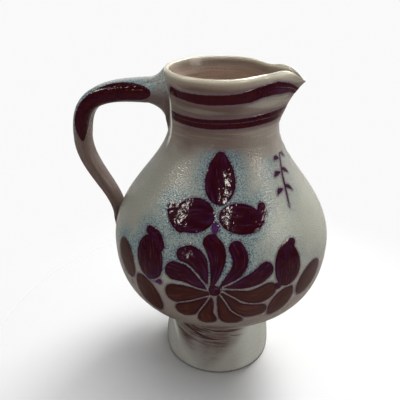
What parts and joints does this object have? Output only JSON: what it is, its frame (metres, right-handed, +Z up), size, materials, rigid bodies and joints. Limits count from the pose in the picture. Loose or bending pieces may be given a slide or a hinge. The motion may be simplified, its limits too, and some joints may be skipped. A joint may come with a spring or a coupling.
{
  "type": "stoneware pitcher",
  "caption": "Salt-glazed stoneware pitcher: round painted belly on a hollow foot, short neck, pinched pouring spout and a pulled strap handle.",
  "frame": {"origin": "On the vessel's axis at the flat standing face under the foot.", "axes": "+Z up along the axis of the thrown body, +X towards the spout, so the handle is at -X, and +Y to the side, square to the plane through spout and handle."},
  "size_m": [0.1669, 0.139, 0.2012],
  "materials": {
    "grey_salt_glaze": "glossy salt glaze with a fine orange-peel grain",
    "pale_rim_glaze": "glossy salt glaze, paler where it thins over the lip",
    "brown_salt_glaze": "glossy salt glaze, warm brown-grey"
  },
  "bodies": {
    "root": {"base_floor": "grey_salt_glaze", "foot_wall": "grey_salt_glaze", "belly_wall": "grey_salt_glaze", "neck_collar": "grey_salt_glaze", "rim_and_spout": "pale_rim_glaze", "handle_root": "grey_salt_glaze", "handle_strap": "brown_salt_glaze", "handle_tail": "brown_salt_glaze"}
  },
  "joints": []
}
